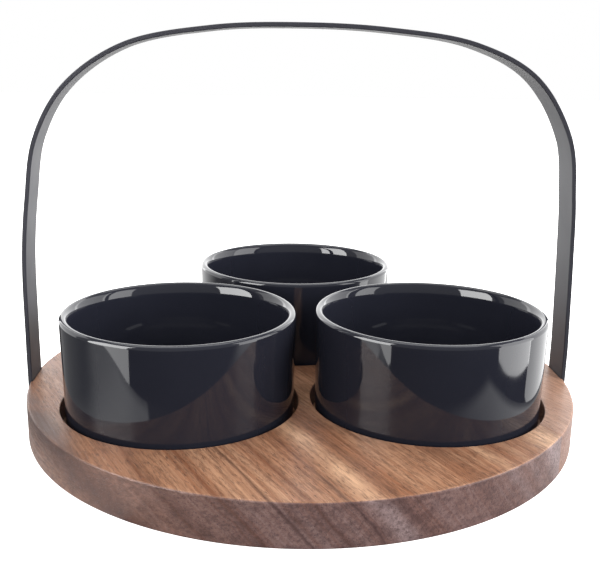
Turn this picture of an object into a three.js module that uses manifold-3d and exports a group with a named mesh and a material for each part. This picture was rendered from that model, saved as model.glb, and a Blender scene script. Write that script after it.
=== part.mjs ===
// Chip and dip server: a round wooden board with three blind recesses, three
// glazed dip bowls that stand in them, and a flat metal carrying handle whose
// feet turn in under the board and are screwed there.
// Millimetres, +Z up. The origin is the centre of the board's underside.

import * as THREE from 'three';
import { mergeVertices } from 'three/addons/utils/BufferGeometryUtils.js';
import Module from 'manifold-3d';

// ---------- driving dimensions ----------

const BOWL_DIAMETER = 100;
const BOWL_HEIGHT = 50;
const BOWL_WALL = 4.6;
const BOWL_FLOOR = 4.5;
const BOWL_TAPER = 0.8;
const BOWL_OUTER_FILLET = 4;
const BOWL_INNER_FILLET = 9;
const FOOT_RING_HEIGHT = 1.2;
const FOOT_RING_WIDTH = 3.5;
const FOOT_RING_SET_IN = 8;

const BOARD_THICKNESS = 18;
const BOARD_EDGE_ROUND = 1.2;
const BOARD_MARGIN = 11.1;
const RECESS_DEPTH = 9.5;
const RECESS_EDGE_ROUND = 0.6;
const RECESS_WEB = 5.5;
const STAVE_ANGLE = THREE.MathUtils.degToRad(25.5);
const GLUE_LINE_OFFSET = 60.4;

const HANDLE_HEIGHT = 178.2;
const HANDLE_WIDTH = 18;
const HANDLE_THICKNESS = 2;
const HANDLE_PROUD = 0.85;
const HANDLE_BEND_RADIUS = 1.5;
const HANDLE_FOOT_LENGTH = 31;
const HANDLE_FOOT_LIFT = 0.5;
const HANDLE_STRAIGHT_TOP = 33;

const SCREW_HEAD_DIAMETER = 7;
const SCREW_SHANK_DIAMETER = 3.5;
const SCREW_LENGTH = 12;
const SCREW_POINT_LENGTH = 2.5;
const SCREW_SLOT_WIDTH = 0.9;
const SCREW_SLOT_LENGTH = 3.8;
const SCREW_SLOT_DEPTH = 1;
const SCREW_FIRST_SET_IN = 8;
const SCREW_SPACING = 13;

// clearances
const BOWL_TO_RECESS = 1.4;
const FIT_GAP = 0.3;

// facets
const BOARD_SEGMENTS = 80;
const BOWL_SEGMENTS = 48;
const SCREW_SEGMENTS = 16;
const EDGE_STEPS = 2;
const FILLET_STEPS = 3;
const LIP_STEPS = 4;
const BEND_STEPS = 4;
const ARCH_STEPS = 48;

// ---------- sizes worked out from them ----------

const BOWL_RADIUS = BOWL_DIAMETER / 2;
const RECESS_RADIUS = BOWL_RADIUS + BOWL_TO_RECESS;
const BOWL_CIRCLE_RADIUS = (2 * RECESS_RADIUS + RECESS_WEB) / Math.sqrt(3);
const BOARD_RADIUS = BOWL_CIRCLE_RADIUS + RECESS_RADIUS + BOARD_MARGIN;
const RECESS_FLOOR_Z = BOARD_THICKNESS - RECESS_DEPTH;
const HANDLE_LEG_X = BOARD_RADIUS + HANDLE_PROUD;
const HANDLE_OUTER_BEND = HANDLE_BEND_RADIUS + HANDLE_THICKNESS;
const HANDLE_FOOT_TOP_Z = HANDLE_FOOT_LIFT + HANDLE_THICKNESS;
const SCREW_HEAD_RADIUS = SCREW_HEAD_DIAMETER / 2;
const SCREW_SHANK_RADIUS = SCREW_SHANK_DIAMETER / 2;

const BOWL_PLACES = [
  { name: 'bowl_left', angle: THREE.MathUtils.degToRad(210) },
  { name: 'bowl_right', angle: THREE.MathUtils.degToRad(330) },
  { name: 'bowl_back', angle: THREE.MathUtils.degToRad(90) },
];

const SCREW_PLACES = [
  { name: 'screw_left_outer', side: -1, row: 0 },
  { name: 'screw_left_inner', side: -1, row: 1 },
  { name: 'screw_right_outer', side: 1, row: 0 },
  { name: 'screw_right_inner', side: 1, row: 1 },
];

// The arch's outer face from the left leg to the right one, as shares of the
// leg's distance from the middle and of the handle's height. The strap is bent
// by hand over a former, so its right shoulder is a little fuller.
const ARCH_POINTS = [
  [-0.994, 0.425], [-0.972, 0.574], [-0.934, 0.719], [-0.829, 0.846],
  [-0.624, 0.946], [-0.325, 0.990], [-0.026, 1.000], [0.279, 0.992],
  [0.590, 0.959], [0.807, 0.881], [0.943, 0.733], [0.976, 0.584], [0.988, 0.430],
];

// ---------- materials ----------

const wood = new THREE.MeshStandardMaterial({ color: 0x8a5a3c, roughness: 0.5, metalness: 0 });
const darkerWood = new THREE.MeshStandardMaterial({ color: 0x7c5546, roughness: 0.5, metalness: 0 });
const blackGlaze = new THREE.MeshStandardMaterial({ color: 0x0e0f14, roughness: 0.08, metalness: 0 });
const blackCoat = new THREE.MeshStandardMaterial({ color: 0x232426, roughness: 0.45, metalness: 0.4 });
const zinc = new THREE.MeshStandardMaterial({ color: 0xa8abb0, roughness: 0.35, metalness: 1 });

// ---------- solid helpers ----------

const wasm = await Module();
wasm.setup();

function toSolid(geometry) {
  const bare = geometry.index ? geometry.toNonIndexed() : geometry.clone();
  bare.deleteAttribute('normal');
  bare.deleteAttribute('uv');
  const merged = mergeVertices(bare, 1e-4);
  return new wasm.Manifold(new wasm.Mesh({
    numProp: 3,
    vertProperties: new Float32Array(merged.attributes.position.array),
    triVerts: new Uint32Array(merged.index.array),
  }));
}

function toGeometry(solid) {
  const mesh = solid.getMesh();
  const geometry = new THREE.BufferGeometry();
  geometry.setAttribute('position', new THREE.BufferAttribute(mesh.vertProperties, 3));
  geometry.setIndex(new THREE.BufferAttribute(mesh.triVerts, 1));
  geometry.computeVertexNormals();
  return geometry;
}

// A box given by its two corners.
function box(low, high) {
  const size = high.map((value, axis) => value - low[axis]);
  const middle = high.map((value, axis) => (value + low[axis]) / 2);
  return new THREE.BoxGeometry(...size).translate(...middle);
}

// A solid of revolution about Z from [radius, height] pairs.
function turned(profile, segments) {
  const points = profile.map(([radius, height]) => new THREE.Vector2(radius, height));
  return new THREE.LatheGeometry(points, segments).rotateX(Math.PI / 2);
}

// Points on an arc about [cx, cz], ends included; angles in quarter turns.
function arc(cx, cz, radius, startQuarter, endQuarter, steps) {
  return Array.from({ length: steps + 1 }, (_, step) => {
    const quarter = startQuarter + ((endQuarter - startQuarter) * step) / steps;
    const angle = (quarter * Math.PI) / 2;
    return [cx + radius * Math.cos(angle), cz + radius * Math.sin(angle)];
  });
}

// ---------- bowls ----------

function bowlProfile() {
  const ringOuter = BOWL_RADIUS - FOOT_RING_SET_IN;
  const ringInner = ringOuter - FOOT_RING_WIDTH;
  const baseRadius = BOWL_RADIUS - BOWL_TAPER;
  const lipRadius = BOWL_WALL / 2;
  const lipZ = BOWL_HEIGHT - lipRadius;
  const innerRadius = baseRadius - BOWL_WALL;
  const floorZ = FOOT_RING_HEIGHT + BOWL_FLOOR;
  return [
    [0, FOOT_RING_HEIGHT],
    [ringInner, FOOT_RING_HEIGHT],
    [ringInner, 0],
    [ringOuter, 0],
    [ringOuter, FOOT_RING_HEIGHT],
    ...arc(baseRadius - BOWL_OUTER_FILLET, FOOT_RING_HEIGHT + BOWL_OUTER_FILLET,
      BOWL_OUTER_FILLET, -1, 0, FILLET_STEPS),
    ...arc(BOWL_RADIUS - lipRadius, lipZ, lipRadius, 0, 2, LIP_STEPS),
    ...arc(innerRadius - BOWL_INNER_FILLET, floorZ + BOWL_INNER_FILLET,
      BOWL_INNER_FILLET, 0, -1, FILLET_STEPS),
    [0, floorZ],
  ];
}

function makeBowl({ name, angle }) {
  const bowl = new THREE.Mesh(turned(bowlProfile(), BOWL_SEGMENTS), blackGlaze);
  bowl.name = name;
  bowl.position.set(
    BOWL_CIRCLE_RADIUS * Math.cos(angle),
    BOWL_CIRCLE_RADIUS * Math.sin(angle),
    RECESS_FLOOR_Z,
  );
  return bowl;
}

// ---------- board ----------

function boardBlank() {
  const inset = BOARD_RADIUS - BOARD_EDGE_ROUND;
  const upperZ = BOARD_THICKNESS - BOARD_EDGE_ROUND;
  return toSolid(turned([
    [0, 0],
    ...arc(inset, BOARD_EDGE_ROUND, BOARD_EDGE_ROUND, -1, 0, EDGE_STEPS),
    ...arc(inset, upperZ, BOARD_EDGE_ROUND, 0, 1, EDGE_STEPS),
    [0, BOARD_THICKNESS],
  ], BOARD_SEGMENTS));
}

// The cutter for one recess: straight walls that flare over a rounded mouth.
function recessCutter(angle) {
  const mouthRadius = RECESS_RADIUS + RECESS_EDGE_ROUND;
  const mouthZ = BOARD_THICKNESS - RECESS_EDGE_ROUND;
  const profile = [
    [0, RECESS_FLOOR_Z],
    [RECESS_RADIUS, RECESS_FLOOR_Z],
    ...arc(mouthRadius, mouthZ, RECESS_EDGE_ROUND, 2, 1, EDGE_STEPS),
    [mouthRadius, BOARD_THICKNESS + FIT_GAP],
    [0, BOARD_THICKNESS + FIT_GAP],
  ];
  return toSolid(turned(profile, BOARD_SEGMENTS).translate(
    BOWL_CIRCLE_RADIUS * Math.cos(angle),
    BOWL_CIRCLE_RADIUS * Math.sin(angle),
    0,
  ));
}

// The notch in the rim for a handle leg and the channel below for its foot.
function handleCutters(side) {
  const halfWidth = HANDLE_WIDTH / 2 + FIT_GAP;
  const notchX = HANDLE_LEG_X - HANDLE_THICKNESS - FIT_GAP;
  const channelX = HANDLE_LEG_X - HANDLE_FOOT_LENGTH - FIT_GAP;
  const outside = BOARD_RADIUS + HANDLE_WIDTH;
  const notch = box([notchX, -halfWidth, -FIT_GAP],
    [outside, halfWidth, BOARD_THICKNESS + FIT_GAP]);
  const channel = box([channelX, -halfWidth, -FIT_GAP],
    [outside, halfWidth, HANDLE_FOOT_TOP_Z + FIT_GAP]);
  // the strap's inner bend is rounded, so the notch's lower corner is cut back
  const relief = box([notchX - HANDLE_BEND_RADIUS, -halfWidth, -FIT_GAP],
    [outside, halfWidth, HANDLE_FOOT_TOP_Z + HANDLE_BEND_RADIUS]);
  const halfTurn = side < 0 ? Math.PI : 0;
  return [notch, channel, relief].map((cutter) => toSolid(cutter.rotateZ(halfTurn)));
}

function screwX({ side, row }) {
  return side * (HANDLE_LEG_X - SCREW_FIRST_SET_IN - row * SCREW_SPACING);
}

function screwHoleCutter(place) {
  const depth = SCREW_LENGTH + 2 * FIT_GAP;
  const radius = SCREW_SHANK_RADIUS + FIT_GAP;
  const hole = new THREE.CylinderGeometry(radius, radius, depth, SCREW_SEGMENTS)
    .rotateX(Math.PI / 2)
    .translate(screwX(place), 0, HANDLE_FOOT_LIFT + depth / 2);
  return toSolid(hole);
}

// Everything on one side of a plane parallel to the glue line.
function staveBlock(fromOffset, toOffset) {
  const reach = 2 * BOARD_RADIUS;
  const block = box([fromOffset, -reach, -BOARD_THICKNESS],
    [toOffset, reach, 2 * BOARD_THICKNESS]);
  return toSolid(block.rotateZ(STAVE_ANGLE));
}

function makeBoard() {
  const cutters = [
    ...BOWL_PLACES.map(({ angle }) => recessCutter(angle)),
    ...handleCutters(-1),
    ...handleCutters(1),
    ...SCREW_PLACES.map(screwHoleCutter),
  ];
  const whole = cutters.reduce((solid, cutter) => solid.subtract(cutter), boardBlank());
  const reach = 2 * BOARD_RADIUS;
  const staves = [
    ['board_main', -reach, GLUE_LINE_OFFSET - FIT_GAP / 2, wood],
    ['board_side', GLUE_LINE_OFFSET + FIT_GAP / 2, reach, darkerWood],
  ];
  return staves.map(([name, from, to, material]) => {
    const stave = new THREE.Mesh(toGeometry(whole.intersect(staveBlock(from, to))), material);
    stave.name = name;
    return stave;
  });
}

// ---------- handle ----------

// The strap's outer face, from the tip of the left foot to that of the right.
function handleOuterPath() {
  const footZ = HANDLE_FOOT_LIFT;
  const bendX = HANDLE_LEG_X - HANDLE_OUTER_BEND;
  const bendZ = footZ + HANDLE_OUTER_BEND;
  const tipX = HANDLE_LEG_X - HANDLE_FOOT_LENGTH;
  const leftBend = arc(-bendX, bendZ, HANDLE_OUTER_BEND, -1, -2, BEND_STEPS);
  const rightBend = arc(bendX, bendZ, HANDLE_OUTER_BEND, 0, -1, BEND_STEPS);
  const archKnots = [
    [-HANDLE_LEG_X, HANDLE_STRAIGHT_TOP],
    ...ARCH_POINTS.map(([across, up]) => [across * HANDLE_LEG_X, up * HANDLE_HEIGHT]),
    [HANDLE_LEG_X, HANDLE_STRAIGHT_TOP],
  ].map(([x, z]) => new THREE.Vector3(x, z, 0));
  const arch = new THREE.CatmullRomCurve3(archKnots, false, 'centripetal')
    .getSpacedPoints(ARCH_STEPS)
    .map(({ x, y }) => [x, y]);
  return [[-tipX, footZ], ...leftBend, ...arch, ...rightBend, [tipX, footZ]]
    .map(([x, z]) => new THREE.Vector2(x, z));
}

// The same path moved inward by the strap's thickness.
function handleInnerPath(outer) {
  return outer.map((point, index) => {
    const before = outer[Math.max(index - 1, 0)];
    const after = outer[Math.min(index + 1, outer.length - 1)];
    const along = after.clone().sub(before).normalize();
    const inward = new THREE.Vector2(along.y, -along.x);
    return point.clone().addScaledVector(inward, HANDLE_THICKNESS);
  });
}

function screwSeatCutter(place) {
  const seatRadius = SCREW_HEAD_RADIUS + FIT_GAP;
  const holeRadius = SCREW_SHANK_RADIUS + FIT_GAP;
  const coneTop = HANDLE_FOOT_LIFT + seatRadius - holeRadius;
  return toSolid(turned([
    [0, 0],
    [seatRadius, 0],
    [seatRadius, HANDLE_FOOT_LIFT],
    [holeRadius, coneTop],
    [holeRadius, coneTop + HANDLE_THICKNESS],
    [0, coneTop + HANDLE_THICKNESS],
  ], SCREW_SEGMENTS).translate(screwX(place), 0, 0));
}

function makeHandle() {
  const outer = handleOuterPath();
  const outline = new THREE.Shape([...outer, ...handleInnerPath(outer).reverse()]);
  const strap = new THREE.ExtrudeGeometry(outline, { depth: HANDLE_WIDTH, bevelEnabled: false })
    .rotateX(Math.PI / 2)
    .translate(0, HANDLE_WIDTH / 2, 0);
  const solid = SCREW_PLACES.map(screwSeatCutter)
    .reduce((rest, cutter) => rest.subtract(cutter), toSolid(strap));
  const handle = new THREE.Mesh(toGeometry(solid), blackCoat);
  handle.name = 'handle_strap';
  return handle;
}

// ---------- screws ----------

// A countersunk wood screw pointing up, its cross recess in the lower face.
function makeScrew(place) {
  const headHeight = SCREW_HEAD_RADIUS - SCREW_SHANK_RADIUS;
  const body = turned([
    [0, 0],
    [SCREW_HEAD_RADIUS, 0],
    [SCREW_SHANK_RADIUS, headHeight],
    [SCREW_SHANK_RADIUS, SCREW_LENGTH - SCREW_POINT_LENGTH],
    [0, SCREW_LENGTH],
  ], SCREW_SEGMENTS);
  const slotLow = [-SCREW_SLOT_LENGTH / 2, -SCREW_SLOT_WIDTH / 2, -FIT_GAP];
  const slotHigh = [SCREW_SLOT_LENGTH / 2, SCREW_SLOT_WIDTH / 2, SCREW_SLOT_DEPTH];
  const solid = [0, Math.PI / 2].reduce(
    (rest, turn) => rest.subtract(toSolid(box(slotLow, slotHigh).rotateZ(turn))),
    toSolid(body),
  );
  const screw = new THREE.Mesh(toGeometry(solid), zinc);
  screw.name = place.name;
  screw.position.set(screwX(place), 0, HANDLE_FOOT_LIFT);
  return screw;
}

// ---------- assembly ----------

const server = new THREE.Group();
server.name = 'chip_and_dip_server';
server.add(...makeBoard());
server.add(...BOWL_PLACES.map(makeBowl));
server.add(makeHandle());
server.add(...SCREW_PLACES.map(makeScrew));

export default server;
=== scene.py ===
import math

import bmesh
import bpy
from mathutils import Matrix, Vector


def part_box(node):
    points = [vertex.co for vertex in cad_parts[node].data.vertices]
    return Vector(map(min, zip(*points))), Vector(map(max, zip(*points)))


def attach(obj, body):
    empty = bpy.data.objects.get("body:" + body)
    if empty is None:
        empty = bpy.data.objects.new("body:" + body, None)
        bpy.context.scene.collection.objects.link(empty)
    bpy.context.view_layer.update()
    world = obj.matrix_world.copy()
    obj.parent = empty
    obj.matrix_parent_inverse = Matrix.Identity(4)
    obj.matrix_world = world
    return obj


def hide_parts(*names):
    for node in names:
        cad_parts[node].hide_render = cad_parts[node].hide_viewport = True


# Chip and dip server: a round wooden board, three black glazed bowls and a flat metal arch.
#
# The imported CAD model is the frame. Every CAD node gets a fine mesh that stands for it,
# built from the node's own box, so the sizes here are only details that a box can't give.
# Metres throughout, +Z up, origin at the centre of the board's underside.

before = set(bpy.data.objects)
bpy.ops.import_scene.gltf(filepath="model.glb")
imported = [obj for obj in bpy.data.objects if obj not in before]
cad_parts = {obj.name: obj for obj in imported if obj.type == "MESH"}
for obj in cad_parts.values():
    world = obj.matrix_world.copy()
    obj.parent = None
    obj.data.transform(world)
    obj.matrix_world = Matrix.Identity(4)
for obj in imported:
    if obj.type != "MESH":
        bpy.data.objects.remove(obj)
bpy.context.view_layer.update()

MM = 0.001

# ---------- camera ----------

CAMERA_PLACE = Vector((-0.02362, -0.38566, 0.16101))
CAMERA_TURN = math.radians(3.378)
CAMERA_DOWN = math.radians(14.504)
CAMERA_ROLL = math.radians(0.939)
CAMERA_LENS = 51.44
CAMERA_NEAREST = 10 * MM
SENSOR_WIDTH = 36.0

# ---------- bowls ----------

BOWLS = ("bowl_left", "bowl_right", "bowl_back")
BOWL_WALL = 4.6 * MM
BOWL_FLOOR = 4.5 * MM
BOWL_TAPER = 0.8 * MM
BOWL_OUTER_FILLET = 4 * MM
BOWL_INNER_FILLET = 9 * MM
LIP_OUTER_ROUND = 1.7 * MM
LIP_INNER_DROP = 6.5 * MM
FOOT_RING_HEIGHT = 1.2 * MM
FOOT_RING_WIDTH = 3.5 * MM
FOOT_RING_SET_IN = 8 * MM
FOOT_RING_ROUND = 0.5 * MM

# ---------- board ----------

STAVES = ("board_main", "board_side")
BOARD_EDGE_ROUND = 0.9 * MM
RECESS_EDGE_ROUND = 0.6 * MM
RECESS_DEPTH = 9.5 * MM
BOWL_TO_RECESS = 1.4 * MM
FIT_GAP = 0.3 * MM
GLUE_LINE = 0.06 * MM
GLUE_LINE_OFFSET = 60.4 * MM
STAVE_ANGLE = math.radians(25.5)

# ---------- handle ----------

STRAP_THICKNESS = 2 * MM
STRAP_EDGE_ROUND = 0.4 * MM
STRAP_BEND_RADIUS = 1.5 * MM
STRAP_FOOT_LENGTH = 31 * MM
STRAP_STRAIGHT_TOP = 33 * MM
# The arch's outer face, as shares of the leg's distance from the middle and of the height.
ARCH_POINTS = (
    (-0.994, 0.425), (-0.972, 0.574), (-0.934, 0.719), (-0.829, 0.846),
    (-0.624, 0.946), (-0.325, 0.990), (-0.026, 1.000), (0.279, 0.992),
    (0.590, 0.959), (0.807, 0.881), (0.943, 0.733), (0.976, 0.584), (0.988, 0.430),
)

# ---------- screws ----------

SCREW_HEAD_RADIUS = 3.5 * MM
SCREW_CREST_RADIUS = 1.75 * MM
SCREW_ROOT_RADIUS = 1.35 * MM
SCREW_PITCH = 1.4 * MM
SCREW_RIDGE_SHARE = 0.5
SCREW_POINT_LENGTH = 2.5 * MM
SCREW_SLOT_WIDTH = 0.9 * MM
SCREW_SLOT_LENGTH = 3.8 * MM
SCREW_SLOT_DEPTH = 1.0 * MM
SCREW_EDGE = 0.15 * MM

# ---------- how fine the meshes are ----------

BOWL_SEGMENTS = 192
BOARD_SEGMENTS = 288
RECESS_SEGMENTS = 192
SCREW_SEGMENTS = 32
THREAD_ROWS_PER_TURN = 8
ARCH_STEPS_PER_KNOT = 18
BEND_STEPS = 12
CORNER_STEPS = 4
EDGE_STEPS = 6
FILLET_STEPS = 10
INNER_FILLET_STEPS = 14
INNER_LIP_STEPS = 20
TABLE_CORNER_STEPS = 12

# ---------- wood figure ----------

# How far a growth ring leans sideways for each unit of depth, and how far it wanders.
RING_LEAN = 0.8
SLOW_WANDER = 8 * MM
QUICK_WANDER = 3 * MM
NOISE_MIDDLE = 0.5
# Rings that stand out: (place across the grain, half width, strength), mm.
DARK_RINGS = (
    (-108.0, 12.0, 1.25), (-86.0, 5.0, 0.40), (-71.0, 4.0, 0.30), (-55.7, 1.3, 0.85),
    (-43.6, 3.0, 0.30), (-31.1, 1.4, 0.80), (-13.5, 3.0, 0.40), (22.0, 10.0, 0.40),
)
PALE_RINGS = (
    (-64.0, 3.5, 0.25), (-50.0, 3.0, 0.30), (-38.0, 2.5, 0.25), (-22.0, 8.0, 1.00),
    (-3.0, 5.0, 0.35), (37.0, 6.0, 0.90), (48.0, 4.0, 0.35), (66.0, 14.0, 1.20),
)
# How much of its target's colour a ring of strength 1 takes.
RING_MIX = 0.75
SIDE_RING_SHIFT = 43 * MM
# The bands between those rings: noise across the grain, a mask between its values low and high.
BROAD_BANDS = dict(scale=60, detail=2, low=0.34, high=0.66)
NARROW_LINES = dict(scale=520, detail=4, roughness=0.65, low=0.32, high=0.70)
BROAD_MIX = 0.20
NARROW_MIX = 0.24
# Marks in the wood: the same, with the noise squeezed across the grain, along it and upwards.
CLOUDS = dict(squeeze=(1, 0.6, 1), scale=34, detail=5, roughness=0.65, low=0.42, high=0.66)
MOTTLE = dict(squeeze=(1, 1, 2), scale=120, detail=5, roughness=0.7, low=0.44, high=0.62)
FIBRES = dict(squeeze=(1, 0.06, 1), scale=900, detail=5, roughness=0.75, low=0.36, high=0.64)
FLECKS = dict(squeeze=(1, 0.18, 1), scale=700, detail=4, roughness=0.75, low=0.46, high=0.64)
PORES = dict(squeeze=(1, 0.10, 1), scale=2000, detail=2, low=0.58, high=0.68)
CLOUD_MIX = 0.50
MOTTLE_MIX = 0.35
FIBRE_MIX = 0.30
FLECK_MIX = 0.42
PORE_MIX = 0.55
FIBRE_RELIEF = 0.4
# How far the upright rim is pulled towards brown: partly its own oiled tone, partly painted shade of
# the side.
RIM_TONE_AND_SHADE_MIX = 0.40
# How much of the gold the pale painted highlight along the eased arris takes.
ARRIS_HIGHLIGHT_MIX = 0.20
# The surface counts as rim, and as end grain, by how much of its normal points up, and along the
# grain: each pair gives where that change starts and ends. The rest of the rim has this little tint.
UPRIGHT_BETWEEN = (0.55, 0.95)
END_GRAIN_BETWEEN = (0.20, 0.95)
# On the long-grain rim this least tint is painted shade with a painted bluish sheen.
LEAST_RIM_SHADE_AND_SHEEN = 0.35
# The eased arris, where a pale painted highlight is laid, is where the part that points up is about
# this, give or take the spread.
ARRIS_SLOPE = 0.75
ARRIS_SPREAD = 0.20

# ---------- colours ----------

# Gold, brown, dark, and the tint of the end grain, whose bluish cast is a painted sheen.
MAIN_TONES = ((0.80, 0.50, 0.31), (0.27, 0.106, 0.051), (0.070, 0.028, 0.018), (0.64, 0.82, 1.35))
SIDE_TONES = ((0.64, 0.40, 0.27), (0.37, 0.19, 0.12), (0.15, 0.075, 0.050), (0.84, 0.82, 0.92))
# The two tones that each of the others drifts between.
GLAZE_TONES = ((0.0145, 0.0155, 0.0230), (0.0180, 0.0190, 0.0280))
COAT_TONES = ((0.028, 0.028, 0.036), (0.038, 0.038, 0.048))
ZINC_TONES = ((0.50, 0.51, 0.53), (0.66, 0.66, 0.66))
FLOOR_TONES = ((0.90, 0.90, 0.90), (0.92, 0.92, 0.92))
GLAZE_SPECK = (0.030, 0.030, 0.036)
COAT_RUBBED = (0.16, 0.16, 0.17)
BLACK = (0, 0, 0, 1)
WHITE = (1, 1, 1, 1)

# ---------- floor and table ----------

FLOOR_REACH = 4.0
FLOOR_DROP = 0.1 * MM
TABLE_DROP = 0.2 * MM
TABLE_CORNER = 0.1
TABLE_SKEW = 9 * MM
TABLE_FRONT = -151 * MM
TABLE_RIGHT = 160 * MM
TABLE_BACK = 300 * MM
TABLE_LEFT = -262 * MM
TABLE_FADE = 14 * MM
TABLE_SHINE_ANGLE = math.radians(31)
# The table's glow: (from this place, to this place, from this strength, to this strength).
TABLE_SHINE = (-130 * MM, -20 * MM, 0.08, 1.15)
TABLE_SHINE_EDGE = (-10 * MM, -5 * MM, 1.0, 0.04)
TABLE_RIGHT_GLOW = (40 * MM, 150 * MM, 0.0, 1.0)
TABLE_BACK_GLOW = (90 * MM, 200 * MM, 0.0, 0.9)

# ---------- light ----------

# Soft walls: (name, degrees from the front, distance, middle's height, width, height, brightness).
WALLS = (
    ("backdrop", 180, 1.6, 0.5, 2.6, 2.0, 2.2),
    ("left_wing", -125, 1.5, 0.5, 1.3, 1.6, 1.4),
    ("right_wing", 122, 1.5, 0.3, 1.4, 1.8, 1.9),
)
OVERHEAD_PLACE = (0, 0.25, 1.5)
OVERHEAD_SIZE = (1.6, 1.3)
OVERHEAD_BRIGHTNESS = 2.3
# Windows, two panes each: (name, degrees from the front, height, middle's height, brightness).
WINDOWS = (
    ("left_low", -64, 0.32, -0.24, 3.8), ("left_high", -64, 1.16, 0.50, 11.0),
    ("right_low", 77, 0.285, -0.2025, 4.6), ("right_high", 77, 1.10, 0.49, 4.0),
)
WINDOW_DISTANCE = 1.1
WINDOW_WIDTH = 0.80
# Lamps: (name, degrees from the front, middle's height, brightness).
LAMPS = (("key", 72, 0.7, 10.0), ("fill", -18, 0.8, 6.6))
LAMP_DISTANCE = 1.9
LAMP_SIZE = (1.2, 1.0)
AMBIENT_LIGHT = 0.45
# What the glaze mirrors beyond the lamps: its strength below and above a soft horizon.
MIRRORED_BELOW = 0.03
MIRRORED_ABOVE = 0.50
HORIZON_BETWEEN = (-0.36, -0.27)


# ---------- mesh helpers ----------

def oval_arc(centre, radii, quarters, steps):
    """Points on an elliptical arc, ends included; quarters gives its ends in quarter turns."""
    start, end = quarters
    points = []
    for step in range(steps + 1):
        angle = (start + (end - start) * step / steps) * math.pi / 2
        points.append((centre[0] + radii[0] * math.cos(angle), centre[1] + radii[1] * math.sin(angle)))
    return points


def arc(centre, radius, quarters, steps):
    """Points on a circular arc, ends included; quarters gives its ends in quarter turns."""
    return oval_arc(centre, (radius, radius), quarters, steps)


def lathe(profile, segments, radius_at=None):
    """A closed bmesh turned about Z from (radius, height) pairs that start and end on the axis.

    radius_at(radius, height, angle) may change a point's radius, as a thread does."""
    mesh = bmesh.new()
    bottom = mesh.verts.new((0, 0, profile[0][1]))
    top = mesh.verts.new((0, 0, profile[-1][1]))
    rings = []
    for radius, height in profile[1:-1]:
        ring = []
        for segment in range(segments):
            angle = 2 * math.pi * segment / segments
            here = radius_at(radius, height, angle) if radius_at else radius
            ring.append(mesh.verts.new((here * math.cos(angle), here * math.sin(angle), height)))
        rings.append(ring)
    for segment in range(segments):
        after = (segment + 1) % segments
        mesh.faces.new((bottom, rings[0][after], rings[0][segment]))
        for lower, upper in zip(rings, rings[1:]):
            mesh.faces.new((lower[segment], lower[after], upper[after], upper[segment]))
        mesh.faces.new((top, rings[-1][segment], rings[-1][after]))
    bmesh.ops.recalc_face_normals(mesh, faces=mesh.faces)
    return mesh


def block(low, high):
    """A bmesh box given by its two corners."""
    mesh = bmesh.new()
    bmesh.ops.create_cube(mesh, size=1)
    low, high = Vector(low), Vector(high)
    size = high - low
    bmesh.ops.transform(mesh, matrix=Matrix.Diagonal((*size, 1)), verts=mesh.verts)
    bmesh.ops.translate(mesh, vec=(low + high) / 2, verts=mesh.verts)
    return mesh


def moved(mesh, offset=(0, 0, 0), turn=0.0):
    """The same bmesh turned about Z and then moved."""
    bmesh.ops.transform(mesh, matrix=Matrix.Rotation(turn, 4, "Z"), verts=mesh.verts)
    bmesh.ops.translate(mesh, vec=offset, verts=mesh.verts)
    return mesh


def linked(name, data):
    """A new object in the scene that holds the data."""
    made = bpy.data.objects.new(name, data)
    bpy.context.collection.objects.link(made)
    return made


def to_object(name, mesh):
    """A bmesh as an object at the origin; the bmesh is used up."""
    data = bpy.data.meshes.new(name)
    mesh.to_mesh(data)
    mesh.free()
    return linked(name, data)


def apply_modifiers(piece):
    """Replaces the piece's mesh by what its modifiers make of it."""
    graph = bpy.context.evaluated_depsgraph_get()
    data = bpy.data.meshes.new_from_object(piece.evaluated_get(graph))
    piece.modifiers.clear()
    piece.data = data


def cut(piece, tools, operation="DIFFERENCE"):
    """Cuts the piece with bmesh tools, which are used up."""
    for tool in tools:
        cutter = to_object("cutter", tool)
        boolean = piece.modifiers.new("cut", "BOOLEAN")
        boolean.operation = operation
        boolean.solver = "EXACT"
        boolean.object = cutter
        apply_modifiers(piece)
        bpy.data.objects.remove(cutter)


def shade(piece, sharp_degrees=32):
    """Smooth shading that keeps hard edges and flat faces."""
    piece.data.shade_smooth()
    piece.data.set_sharp_from_angle(angle=math.radians(sharp_degrees))
    weighted = piece.modifiers.new("weighted", "WEIGHTED_NORMAL")
    weighted.keep_sharp = True


def dress(piece, material, node, body):
    """Gives a finished piece its material, and its place in the frame."""
    piece.data.materials.clear()
    piece.data.materials.append(material)
    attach(piece, body)
    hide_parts(node)


def axis_place(node, height):
    """A place on the upright axis through the middle of the node's box."""
    low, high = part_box(node)
    return ((low[0] + high[0]) / 2, (low[1] + high[1]) / 2, height)


# ---------- material helpers ----------

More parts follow.
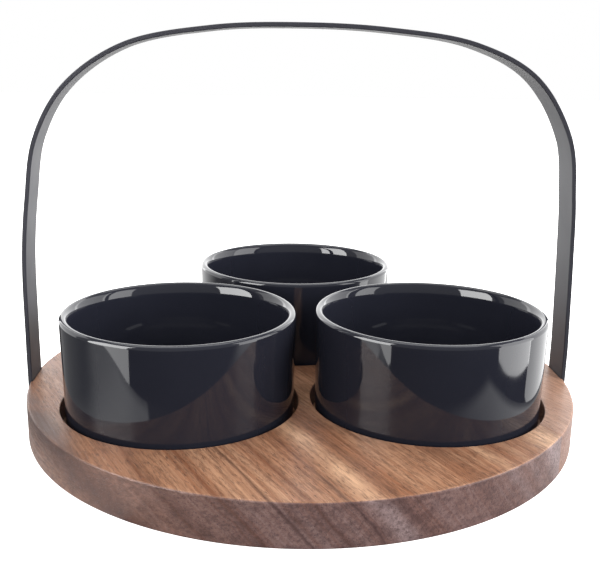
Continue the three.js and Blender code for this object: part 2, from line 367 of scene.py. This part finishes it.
class Graph:
    """A small way to write a material's nodes as nested calls."""

    def __init__(self, name):
        self.material = bpy.data.materials.new(name)
        self.material.use_nodes = True
        self.tree = self.material.node_tree
        self.shader = self.tree.nodes["Principled BSDF"]

    def put(self, socket, value):
        """Links a value that is a socket, and sets one that is a constant."""
        if isinstance(value, bpy.types.NodeSocket):
            self.tree.links.new(value, socket)
        else:
            socket.default_value = value

    def coordinates(self, kind="Object"):
        """Where a point is in the object, in metres, or with "Normal" which way it faces."""
        return self.tree.nodes.new("ShaderNodeTexCoord").outputs[kind]

    def axes(self, vector):
        """The vector's three numbers."""
        node = self.tree.nodes.new("ShaderNodeSeparateXYZ")
        self.put(node.inputs[0], vector)
        return node.outputs

    def math(self, operation, first, second=0.0, third=0.0):
        """What one operation makes of up to three numbers."""
        node = self.tree.nodes.new("ShaderNodeMath")
        node.operation = operation
        for socket, value in zip(node.inputs, (first, second, third)):
            self.put(socket, value)
        return node.outputs[0]

    def rising(self, mask, base, rise):
        """base where the mask is 0, and rise more than that where it is 1."""
        return self.math("MULTIPLY_ADD", mask, rise, base)

    def remap(self, value, low, high, to_low=0.0, to_high=1.0):
        """A smooth step of value from low..high to to_low..to_high."""
        node = self.tree.nodes.new("ShaderNodeMapRange")
        node.interpolation_type = "SMOOTHSTEP"
        for socket, number in zip(node.inputs, (value, low, high, to_low, to_high)):
            self.put(socket, number)
        return node.outputs[0]

    def mapped(self, vector, scale=(1, 1, 1), turn=0.0):
        """The vector scaled, and turned about Z."""
        node = self.tree.nodes.new("ShaderNodeMapping")
        self.put(node.inputs["Vector"], vector)
        node.inputs["Rotation"].default_value = (0, 0, turn)
        node.inputs["Scale"].default_value = scale
        return node.outputs[0]

    def noise(self, place, scale, detail=3.0, roughness=0.5):
        """Noise in space, or along a line where the place is a single number."""
        node = self.tree.nodes.new("ShaderNodeTexNoise")
        if place.type == "VALUE":
            node.noise_dimensions = "1D"
            self.put(node.inputs["W"], place)
        else:
            self.put(node.inputs["Vector"], place)
        node.inputs["Scale"].default_value = scale
        node.inputs["Detail"].default_value = detail
        node.inputs["Roughness"].default_value = roughness
        return node.outputs["Fac"]

    def mask(self, place, low, high, **noise_settings):
        """Noise as a mask that is 0 below low and 1 above high."""
        return self.remap(self.noise(place, **noise_settings), low, high)

    def mix(self, share, first, second, blend="MIX"):
        """Mixes two colours."""
        node = self.tree.nodes.new("ShaderNodeMix")
        node.data_type = "RGBA"
        node.blend_type = blend
        self.put(node.inputs["Factor"], share)
        for key, value in (("A", first), ("B", second)):
            socket = next(s for s in node.inputs if s.name == key and s.type == "RGBA")
            self.put(socket, value if isinstance(value, bpy.types.NodeSocket) else (*value, 1))
        return next(s for s in node.outputs if s.type == "RGBA")

    def tint(self, colour, mask, most, target):
        """Brings the colour towards the target by the mask, times the most that it may change."""
        return self.mix(self.math("MULTIPLY", mask, most), colour, target)

    def bump(self, height, strength, distance):
        """Makes the surface look raised by the height."""
        node = self.tree.nodes.new("ShaderNodeBump")
        self.put(node.inputs["Height"], height)
        node.inputs["Strength"].default_value = strength
        node.inputs["Distance"].default_value = distance
        self.put(self.shader.inputs["Normal"], node.outputs[0])

    def set(self, **values):
        """Sets sockets of the shader, named with _ for a space."""
        for key, value in values.items():
            self.put(self.shader.inputs[key.replace("_", " ")], value)


# ---------- wood ----------

def ring_place(wood, across, ring_shift):
    """Place among the growth rings, which lean with depth and wander a little along the board."""
    x, _, z = wood.axes(across)
    slow = wood.noise(wood.mapped(across, scale=(1, 0.25, 1)), scale=18, detail=2)
    quick = wood.noise(wood.mapped(across, scale=(1, 0.15, 1)), scale=130, detail=2)
    ring = wood.math("MULTIPLY_ADD", z, RING_LEAN, x)
    for noise, wander in ((slow, SLOW_WANDER), (quick, QUICK_WANDER)):
        either_way = wood.math("SUBTRACT", noise, NOISE_MIDDLE)
        ring = wood.math("MULTIPLY_ADD", either_way, wander, ring)
    return wood.math("ADD", ring, ring_shift)


def near_rings(wood, colour, ring, places, target):
    """Brings the colour towards the target near each (place, half width, strength) in mm."""
    for place, half_width, strength in places:
        away = wood.math("ABSOLUTE", wood.math("SUBTRACT", ring, place * MM))
        near = wood.remap(away, 0.0, half_width * MM, RING_MIX * strength, 0.0)
        colour = wood.mix(near, colour, target)
    return colour


def ring_colour(wood, ring, upright, tones):
    """Broad bands, then narrow growth lines, then the rings that stand out."""
    gold, brown, dark, _ = tones
    broad = wood.mask(ring, **BROAD_BANDS)
    narrow = wood.mask(ring, **NARROW_LINES)
    tone = wood.math("MULTIPLY_ADD", narrow, NARROW_MIX, wood.math("MULTIPLY", broad, BROAD_MIX))
    colour = wood.mix(tone, brown, gold)
    colour = near_rings(wood, colour, ring, PALE_RINGS, gold)
    # Partly painted shade: the upright rim is pulled towards brown, so the pale rings show less on it.
    colour = wood.tint(colour, upright, RIM_TONE_AND_SHADE_MIX, brown)
    return near_rings(wood, colour, ring, DARK_RINGS, dark)


def wood_marks(wood, across, squeeze, **mask_settings):
    """A mask of marks that may be drawn out along the grain."""
    return wood.mask(wood.mapped(across, scale=squeeze), **mask_settings)


def oil_and_painted_light(wood, colour, facing, upright, cloud, tones):
    """Oil darkens the end grain of the rim; a bluish painted sheen and painted shade lie on the whole
    rim, and a pale painted highlight along the eased arris.
    """
    gold, _, _, end_grain_and_sheen_tint = tones
    _, along, up = wood.axes(facing)
    ends = wood.remap(wood.math("ABSOLUTE", along), *END_GRAIN_BETWEEN, LEAST_RIM_SHADE_AND_SHEEN, 1.0)
    # Real darkening where the rim cuts the grain; its bluish cast, and the tint on the rest of the
    # rim, are painted sheen and shade.
    colour = wood.mix(wood.math("MULTIPLY", ends, upright), colour, end_grain_and_sheen_tint, "MULTIPLY")
    # Painted highlight: a pale line along the eased arris, patchy with the clouds.
    slope = wood.math("SUBTRACT", wood.math("ABSOLUTE", up), ARRIS_SLOPE)
    arris = wood.remap(wood.math("ABSOLUTE", slope), 0.0, ARRIS_SPREAD, ARRIS_HIGHLIGHT_MIX, 0.0)
    return wood.mix(wood.math("MULTIPLY", arris, cloud), colour, gold)


def wood_material(name, tones, ring_shift):
    """Oiled hardwood: rings that lean with depth, long pores and dark end grain, with painted shade
    and sheen on the rim and a painted highlight on the arris.
    """
    _, brown, dark, _ = tones
    wood = Graph(name)
    across = wood.mapped(wood.coordinates(), turn=-STAVE_ANGLE)
    facing = wood.mapped(wood.coordinates("Normal"), turn=-STAVE_ANGLE)
    up = wood.axes(facing)[2]
    upright = wood.remap(wood.math("ABSOLUTE", up), *UPRIGHT_BETWEEN, 1.0, 0.0)
    cloud = wood_marks(wood, across, **CLOUDS)
    mottle = wood.math("MULTIPLY", wood_marks(wood, across, **MOTTLE), upright)
    fibre = wood_marks(wood, across, **FIBRES)
    fleck = wood_marks(wood, across, **FLECKS)
    pore = wood_marks(wood, across, **PORES)

    colour = ring_colour(wood, ring_place(wood, across, ring_shift), upright, tones)
    colour = wood.tint(colour, cloud, CLOUD_MIX, brown)
    colour = wood.tint(colour, mottle, MOTTLE_MIX, dark)
    colour = wood.tint(colour, fibre, FIBRE_MIX, dark)
    colour = wood.tint(colour, fleck, FLECK_MIX, dark)
    colour = wood.tint(colour, pore, PORE_MIX, dark)
    wood.set(
        Base_Color=oil_and_painted_light(wood, colour, facing, upright, cloud, tones),
        Roughness=wood.rising(fibre, base=0.32, rise=0.14),
        Specular_IOR_Level=0.25,
        Coat_Weight=0.08,
        Coat_Roughness=0.16,
    )
    raised_fibres = wood.math("MULTIPLY", fibre, FIBRE_RELIEF)
    relief = wood.math("SUBTRACT", raised_fibres, pore)
    wood.bump(relief, strength=0.6, distance=0.15 * MM)
    return wood.material


# ---------- other materials ----------

def glaze_material():
    """Deep blue-black glaze, glassy, with the faint waviness of a fired surface."""
    glaze = Graph("black_glaze_fine")
    place = glaze.coordinates()
    cloud = glaze.noise(place, scale=45, detail=3)
    speck = glaze.mask(place, scale=900, detail=2, low=0.68, high=0.75)
    colour = glaze.mix(cloud, *GLAZE_TONES)
    glaze.set(
        Base_Color=glaze.tint(colour, speck, most=0.25, target=GLAZE_SPECK),
        Roughness=glaze.rising(cloud, base=0.02, rise=0.05),
        IOR=1.5,
    )
    glaze.bump(glaze.noise(place, scale=60, detail=1), strength=0.35, distance=0.15 * MM)
    return glaze.material


def coat_material():
    """Black powder coat: a fine orange peel and a few rubbed specks."""
    coat = Graph("black_coat_fine")
    place = coat.coordinates()
    patch = coat.noise(place, scale=60, detail=3)
    rubbed = coat.mask(place, scale=1100, detail=3, roughness=0.7, low=0.66, high=0.74)
    colour = coat.mix(patch, *COAT_TONES)
    coat.set(
        Base_Color=coat.tint(colour, rubbed, most=0.35, target=COAT_RUBBED),
        Roughness=coat.rising(patch, base=0.42, rise=0.12),
        Specular_IOR_Level=0.30,
    )
    coat.bump(coat.noise(place, scale=1800, detail=2), strength=0.12, distance=0.06 * MM)
    return coat.material


def zinc_material():
    """Bright zinc plate with a dulled, slightly uneven bloom."""
    zinc = Graph("screw_zinc_fine")
    place = zinc.coordinates()
    bloom = zinc.noise(place, scale=700, detail=3)
    zinc.set(
        Base_Color=zinc.mix(bloom, *ZINC_TONES),
        Metallic=1.0,
        Roughness=zinc.rising(bloom, base=0.22, rise=0.25),
    )
    zinc.bump(zinc.noise(place, scale=3500, detail=1), strength=0.2, distance=0.03 * MM)
    return zinc.material


def floor_material():
    """Plain pale floor."""
    floor = Graph("pale_floor")
    tone = floor.noise(floor.coordinates(), scale=3, detail=2)
    floor.set(
        Base_Color=floor.mix(tone, *FLOOR_TONES),
        Roughness=0.9,
        Emission_Color=WHITE,
        Emission_Strength=1.0,
    )
    return floor.material


# ---------- bowls ----------

def bowl_profile(radius, height):
    """Half section of a bowl that stands on z = 0, from the underside round to the floor."""
    ring_outer = radius - FOOT_RING_SET_IN
    ring_inner = ring_outer - FOOT_RING_WIDTH
    ring_round = FOOT_RING_ROUND
    base_radius = radius - BOWL_TAPER
    inner_radius = base_radius - BOWL_WALL
    floor_z = FOOT_RING_HEIGHT + BOWL_FLOOR
    outer_fillet = (base_radius - BOWL_OUTER_FILLET, FOOT_RING_HEIGHT + BOWL_OUTER_FILLET)
    inner_fillet = (inner_radius - BOWL_INNER_FILLET, floor_z + BOWL_INNER_FILLET)
    lip_x = radius - LIP_OUTER_ROUND
    lip_radii = (BOWL_WALL - LIP_OUTER_ROUND, LIP_INNER_DROP)
    return [
        (0, FOOT_RING_HEIGHT),
        (ring_inner, FOOT_RING_HEIGHT),
        *arc((ring_inner + ring_round, ring_round), ring_round, (-2, -1), CORNER_STEPS),
        *arc((ring_outer - ring_round, ring_round), ring_round, (-1, 0), CORNER_STEPS),
        (ring_outer, FOOT_RING_HEIGHT),
        *arc(outer_fillet, BOWL_OUTER_FILLET, (-1, 0), FILLET_STEPS),
        *arc((lip_x, height - LIP_OUTER_ROUND), LIP_OUTER_ROUND, (0, 1), FILLET_STEPS),
        *oval_arc((lip_x, height - LIP_INNER_DROP), lip_radii, (1, 2), INNER_LIP_STEPS)[1:],
        *arc(inner_fillet, BOWL_INNER_FILLET, (0, -1), INNER_FILLET_STEPS),
        (0, floor_z),
    ]


def make_bowl(node, glaze):
    """A turned bowl that fills its CAD node's box."""
    low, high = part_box(node)
    profile = bowl_profile((high[0] - low[0]) / 2, high[2] - low[2])
    mesh = moved(lathe(profile, BOWL_SEGMENTS), axis_place(node, low[2]))
    bowl = to_object(f"{node}_glazed", mesh)
    shade(bowl, sharp_degrees=50)
    dress(bowl, glaze, node, node)


# ---------- board ----------

def board_box():
    """The corners of the whole board, over both staves."""
    boxes = [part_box(node) for node in STAVES]
    low = [min(box[0][axis] for box in boxes) for axis in range(3)]
    high = [max(box[1][axis] for box in boxes) for axis in range(3)]
    return low, high


def board_blank(radius, thickness):
    """The round board with eased edges, before anything is cut."""
    edge = BOARD_EDGE_ROUND
    profile = [
        (0, 0),
        *arc((radius - edge, edge), edge, (-1, 0), EDGE_STEPS),
        *arc((radius - edge, thickness - edge), edge, (0, 1), EDGE_STEPS),
        (0, thickness),
    ]
    return to_object("board_blank", lathe(profile, BOARD_SEGMENTS))


def recess_tools(thickness):
    """One tool for each bowl: straight walls that flare over a rounded mouth."""
    edge = RECESS_EDGE_ROUND
    tools = []
    for node in BOWLS:
        low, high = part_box(node)
        radius = (high[0] - low[0]) / 2 + BOWL_TO_RECESS
        mouth = radius + edge
        profile = [
            (0, thickness - RECESS_DEPTH),
            (radius, thickness - RECESS_DEPTH),
            *arc((mouth, thickness - edge), edge, (2, 1), EDGE_STEPS),
            (mouth, thickness + FIT_GAP),
            (0, thickness + FIT_GAP),
        ]
        tools.append(moved(lathe(profile, RECESS_SEGMENTS), axis_place(node, 0)))
    return tools


def strap_tools(radius, thickness):
    """For each leg, the notch in the rim, the channel for its foot and the room for the bend."""
    low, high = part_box("handle_strap")
    half_width = (high[1] - low[1]) / 2 + FIT_GAP
    leg_x = high[0]
    foot_top = low[2] + STRAP_THICKNESS
    notch_x = leg_x - STRAP_THICKNESS - FIT_GAP
    channel_x = leg_x - STRAP_FOOT_LENGTH - FIT_GAP
    outside = radius + 2 * STRAP_FOOT_LENGTH
    starts_and_tops = (
        (notch_x, thickness + FIT_GAP),
        (channel_x, foot_top + FIT_GAP),
        (notch_x - STRAP_BEND_RADIUS, foot_top + STRAP_BEND_RADIUS),
    )
    tools = []
    for half_turn in (0, math.pi):
        for start, top in starts_and_tops:
            tool = block((start, -half_width, -FIT_GAP), (outside, half_width, top))
            tools.append(moved(tool, turn=half_turn))
    return tools


def make_board(main_wood, side_wood):
    """The board, cut for the bowls and the strap and then parted along the glue line."""
    low, high = board_box()
    radius = (high[1] - low[1]) / 2
    thickness = high[2] - low[2]
    board = board_blank(radius, thickness)
    cut(board, recess_tools(thickness) + strap_tools(radius, thickness))
    far = 2 * radius
    sides = (
        ("board_main", -far, GLUE_LINE_OFFSET - GLUE_LINE / 2, main_wood, "wood_main"),
        ("board_side", GLUE_LINE_OFFSET + GLUE_LINE / 2, far, side_wood, "wood_side"),
    )
    for node, start, end, wood, slot in sides:
        stave = linked(f"{node}_oiled", board.data.copy())
        half_space = block((start, -far, -thickness), (end, far, 2 * thickness))
        cut(stave, [moved(half_space, turn=STAVE_ANGLE)], "INTERSECT")
        shade(stave)
        dress(stave, wood, node, "board")
    bpy.data.objects.remove(board)


# ---------- handle ----------

def centripetal(knots, steps):
    """A centripetal Catmull-Rom curve through the knots, steps points to each span."""
    first = knots[0] * 2 - knots[1]
    last = knots[-1] * 2 - knots[-2]
    padded = [first, *knots, last]
    points = []
    for p0, p1, p2, p3 in zip(padded, padded[1:], padded[2:], padded[3:]):
        t1 = (p1 - p0).length ** 0.5
        t2 = t1 + (p2 - p1).length ** 0.5
        t3 = t2 + (p3 - p2).length ** 0.5
        for step in range(steps):
            t = t1 + (t2 - t1) * step / steps
            a1 = p0 * ((t1 - t) / t1) + p1 * (t / t1)
            a2 = p1 * ((t2 - t) / (t2 - t1)) + p2 * ((t - t1) / (t2 - t1))
            a3 = p2 * ((t3 - t) / (t3 - t2)) + p3 * ((t - t2) / (t3 - t2))
            b1 = a1 * ((t2 - t) / t2) + a2 * (t / t2)
            b2 = a2 * ((t3 - t) / (t3 - t1)) + a3 * ((t - t1) / (t3 - t1))
            points.append(b1 * ((t2 - t) / (t2 - t1)) + b2 * ((t - t1) / (t2 - t1)))
    return [*points, knots[-1]]


def strap_path(leg_x, foot_z, top_z):
    """The strap's outer face from the tip of the left foot to that of the right."""
    outer_bend = STRAP_BEND_RADIUS + STRAP_THICKNESS
    bend_x = leg_x - outer_bend
    bend_z = foot_z + outer_bend
    tip_x = leg_x - STRAP_FOOT_LENGTH
    knots = [
        (-leg_x, STRAP_STRAIGHT_TOP),
        *((across * leg_x, up * top_z) for across, up in ARCH_POINTS),
        (leg_x, STRAP_STRAIGHT_TOP),
    ]
    arch = centripetal([Vector(knot) for knot in knots], ARCH_STEPS_PER_KNOT)
    flat = [
        (-tip_x, foot_z),
        *arc((-bend_x, bend_z), outer_bend, (-1, -2), BEND_STEPS),
        *((point.x, point.y) for point in arch),
        *arc((bend_x, bend_z), outer_bend, (0, -1), BEND_STEPS),
        (tip_x, foot_z),
    ]
    return [Vector((x, 0, z)) for x, z in flat]


def strap_section(width):
    """(sideways, inward) points round a strip with rounded edges."""
    edge = STRAP_EDGE_ROUND
    half = width / 2 - edge
    deep = STRAP_THICKNESS - edge
    return [
        *arc((half, deep), edge, (0, 1), CORNER_STEPS),
        *arc((-half, deep), edge, (1, 2), CORNER_STEPS),
        *arc((-half, edge), edge, (2, 3), CORNER_STEPS),
        *arc((half, edge), edge, (3, 4), CORNER_STEPS),
    ]


def sweep(path, section):
    """A closed bmesh of the section carried along a path in the XZ plane."""
    mesh = bmesh.new()
    rings = []
    for index, point in enumerate(path):
        before = path[max(index - 1, 0)]
        after = path[min(index + 1, len(path) - 1)]
        along = (after - before).normalized()
        inward = Vector((along.z, 0, -along.x))
        rings.append([
            mesh.verts.new(point + Vector((0, sideways, 0)) + inward * depth)
            for sideways, depth in section
        ])
    count = len(section)
    for ring, following in zip(rings, rings[1:]):
        for corner in range(count):
            after = (corner + 1) % count
            mesh.faces.new((ring[corner], ring[after], following[after], following[corner]))
    mesh.faces.new(rings[0])
    mesh.faces.new(rings[-1])
    bmesh.ops.recalc_face_normals(mesh, faces=mesh.faces)
    return mesh


def screw_nodes():
    """The names of the screws' CAD nodes."""
    return [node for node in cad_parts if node.startswith("screw_")]


def seat_tools(foot_z):
    """Countersinks in the strap's feet, one for each screw."""
    head = SCREW_HEAD_RADIUS + FIT_GAP
    hole = SCREW_CREST_RADIUS + FIT_GAP
    cone_top = foot_z + head - hole
    profile = [
        (0, 0),
        (head, 0),
        (head, foot_z),
        (hole, cone_top),
        (hole, cone_top + STRAP_THICKNESS),
        (0, cone_top + STRAP_THICKNESS),
    ]
    return [moved(lathe(profile, SCREW_SEGMENTS), axis_place(node, 0)) for node in screw_nodes()]


def make_strap(coat):
    """The strap, swept along its arch, with a countersink for each screw."""
    low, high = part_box("handle_strap")
    path = strap_path(high[0], low[2], high[2])
    strap = to_object("handle_strap_coated", sweep(path, strap_section(high[1] - low[1])))
    cut(strap, seat_tools(low[2]))
    shade(strap, sharp_degrees=40)
    dress(strap, coat, "handle_strap", "board")


# ---------- screws ----------

def thread_radius(radius, height, angle):
    """Cuts a thread into the shank by letting its radius follow a helix."""
    if radius != SCREW_CREST_RADIUS:
        return radius
    phase = (height / SCREW_PITCH - angle / (2 * math.pi)) % 1.0
    ridge = max(0.0, 1.0 - abs(phase - 0.5) * 2 / SCREW_RIDGE_SHARE)
    return SCREW_ROOT_RADIUS + (SCREW_CREST_RADIUS - SCREW_ROOT_RADIUS) * ridge


def make_screw(node, zinc):
    """A countersunk screw, head down, with a thread, a point and a cross slot."""
    low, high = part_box(node)
    length = high[2] - low[2]
    neck = SCREW_HEAD_RADIUS - SCREW_ROOT_RADIUS
    threaded = length - SCREW_POINT_LENGTH - neck
    rows = round(threaded / SCREW_PITCH * THREAD_ROWS_PER_TURN)
    profile = [
        (0, 0),
        (SCREW_HEAD_RADIUS - SCREW_EDGE, 0),
        (SCREW_HEAD_RADIUS, SCREW_EDGE),
        (SCREW_ROOT_RADIUS, neck),
        *((SCREW_CREST_RADIUS, neck + threaded * (row + 1) / rows) for row in range(rows)),
        (0, length),
    ]
    place = axis_place(node, low[2])
    screw = to_object(f"{node}_plated", moved(lathe(profile, SCREW_SEGMENTS, thread_radius), place))
    slot_low = (-SCREW_SLOT_LENGTH / 2, -SCREW_SLOT_WIDTH / 2, -FIT_GAP)
    slot_high = (SCREW_SLOT_LENGTH / 2, SCREW_SLOT_WIDTH / 2, SCREW_SLOT_DEPTH)
    cut(screw, [moved(block(slot_low, slot_high), place, turn) for turn in (0, math.pi / 2)])
    shade(screw)
    dress(screw, zinc, node, "board")


# ---------- light ----------

def softbox(name, place, aim, width, height, brightness):
    """A rectangular light, given by how bright its face looks."""
    light = bpy.data.lights.new(name, "AREA")
    light.shape = "RECTANGLE"
    light.size = width
    light.size_y = height
    light.energy = brightness * math.pi * width * height
    lamp = linked(name, light)
    lamp.location = place
    lamp.rotation_euler = (Vector(aim) - Vector(place)).to_track_quat("-Z", "Y").to_euler()
    lamp.visible_camera = False
    return lamp


def place_round(degrees, distance, height):
    """A place round the object: degrees from the front, positive to the right."""
    angle = math.radians(degrees)
    return (distance * math.sin(angle), -distance * math.cos(angle), height)


def make_lights():
    """Walls that light and are mirrored, windows that are only mirrored, lamps that only light."""
    middle = (0, 0, 0)
    for name, degrees, distance, up, width, height, brightness in WALLS:
        softbox(name, place_round(degrees, distance, up), (0, 0, up), width, height, brightness)
    softbox("overhead", OVERHEAD_PLACE, middle, *OVERHEAD_SIZE, OVERHEAD_BRIGHTNESS)
    for name, degrees, height, up, brightness in WINDOWS:
        place = place_round(degrees, WINDOW_DISTANCE, up)
        window = softbox(name, place, (0, 0, up), WINDOW_WIDTH, height, brightness)
        window.visible_diffuse = False
    for name, degrees, up, brightness in LAMPS:
        lamp = softbox(name, place_round(degrees, LAMP_DISTANCE, up), middle, *LAMP_SIZE, brightness)
        lamp.visible_glossy = False


def mirrored_background(nodes, links):
    """What the glaze mirrors beyond the lamps: dark below a soft horizon, pale above it."""
    coordinates = nodes.new("ShaderNodeTexCoord")
    axes = nodes.new("ShaderNodeSeparateXYZ")
    rise = nodes.new("ShaderNodeMapRange")
    background = nodes.new("ShaderNodeBackground")
    rise.interpolation_type = "SMOOTHSTEP"
    limits = (*HORIZON_BETWEEN, MIRRORED_BELOW, MIRRORED_ABOVE)
    for name, value in zip(("From Min", "From Max", "To Min", "To Max"), limits):
        rise.inputs[name].default_value = value
    links.new(coordinates.outputs["Generated"], axes.inputs[0])
    links.new(axes.outputs["Z"], rise.inputs["Value"])
    links.new(rise.outputs[0], background.inputs["Strength"])
    return background


def make_world():
    """White to the camera, even light on the object, dark below in its reflections."""
    world = bpy.data.worlds.new("room")
    world.use_nodes = True
    nodes, links = world.node_tree.nodes, world.node_tree.links
    white = nodes["Background"]
    white.inputs["Color"].default_value = WHITE
    ambient = nodes.new("ShaderNodeBackground")
    ambient.inputs["Strength"].default_value = AMBIENT_LIGHT
    rays = nodes.new("ShaderNodeLightPath")
    shown = mirrored_background(nodes, links)
    for ray, background in (("Is Diffuse Ray", ambient), ("Is Camera Ray", white)):
        choose = nodes.new("ShaderNodeMixShader")
        links.new(rays.outputs[ray], choose.inputs[0])
        links.new(shown.outputs[0], choose.inputs[1])
        links.new(background.outputs[0], choose.inputs[2])
        shown = choose
    links.new(shown.outputs[0], nodes["World Output"].inputs["Surface"])
    bpy.context.scene.world = world


# ---------- floor and table ----------

def table_material():
    """A sheet that shines towards a straight edge on the left, and glows right and behind."""
    sheet = Graph("table_top")
    place = sheet.coordinates()
    x, y, _ = sheet.axes(place)
    turned = sheet.axes(sheet.mapped(place, turn=TABLE_SHINE_ANGLE))[0]
    shine = sheet.remap(turned, *TABLE_SHINE)
    left = sheet.math("MULTIPLY", shine, sheet.remap(turned, *TABLE_SHINE_EDGE))
    right = sheet.remap(x, *TABLE_RIGHT_GLOW)
    behind = sheet.remap(y, *TABLE_BACK_GLOW)
    shown = sheet.math("MAXIMUM", sheet.math("ADD", left, right), behind)
    from_front = sheet.remap(y, TABLE_FRONT - TABLE_SKEW, TABLE_FRONT + TABLE_FADE)
    from_right = sheet.remap(x, TABLE_RIGHT, TABLE_RIGHT - TABLE_FADE)
    inside = sheet.math("MULTIPLY", from_front, from_right)
    sheet.set(
        Base_Color=BLACK,
        Emission_Color=WHITE,
        Emission_Strength=sheet.math("MULTIPLY", shown, inside),
    )
    return sheet.material


def stage_sheet(name, outline, z, material):
    """A flat sheet that faces up, as part of the stage."""
    mesh = bmesh.new()
    mesh.faces.new([mesh.verts.new((x, y, z)) for x, y in outline])
    piece = to_object(name, mesh)
    piece.data.materials.append(material)
    return piece


def make_floor():
    """A wide pale floor, which only the camera sees."""
    reach = FLOOR_REACH
    outline = ((-reach, -reach), (reach, -reach), (reach, reach), (-reach, reach))
    floor = stage_sheet("floor", outline, -FLOOR_DROP, floor_material())
    floor.visible_glossy = False
    floor.visible_diffuse = False


def make_table():
    """A table top with one rounded corner, which only the glaze mirrors."""
    corner = (TABLE_LEFT + TABLE_CORNER, TABLE_FRONT + TABLE_CORNER)
    outline = (
        *arc(corner, TABLE_CORNER, (2, 3), TABLE_CORNER_STEPS),
        (TABLE_RIGHT, TABLE_FRONT - TABLE_SKEW),
        (TABLE_RIGHT, TABLE_BACK),
        (TABLE_LEFT, TABLE_BACK),
    )
    table = stage_sheet("table_top", outline, -TABLE_DROP, table_material())
    table.visible_camera = False
    table.visible_diffuse = False
    table.visible_shadow = False


# ---------- the scene ----------

def make_camera():
    """The camera, turned from the front, tilted down and rolled a little."""
    lens = bpy.data.cameras.new("camera")
    lens.lens = CAMERA_LENS
    lens.sensor_width = SENSOR_WIDTH
    lens.clip_start = CAMERA_NEAREST
    camera = linked("camera", lens)
    turn = Matrix.Rotation(-CAMERA_TURN, 4, "Z")
    tilt = Matrix.Rotation(math.pi / 2 - CAMERA_DOWN, 4, "X")
    roll = Matrix.Rotation(CAMERA_ROLL, 4, "Z")
    camera.matrix_world = Matrix.Translation(CAMERA_PLACE) @ turn @ tilt @ roll
    bpy.context.scene.camera = camera


def make_scene():
    """The room, and then every piece of the object."""
    bpy.context.scene.view_settings.view_transform = "Standard"
    make_camera()
    make_world()
    make_floor()
    make_table()
    make_lights()
    main_wood = wood_material("wood_main_fine", MAIN_TONES, ring_shift=0.0)
    side_wood = wood_material("wood_side_fine", SIDE_TONES, ring_shift=SIDE_RING_SHIFT)
    make_board(main_wood, side_wood)
    glaze = glaze_material()
    for node in BOWLS:
        make_bowl(node, glaze)
    make_strap(coat_material())
    zinc = zinc_material()
    for node in screw_nodes():
        make_screw(node, zinc)


make_scene()
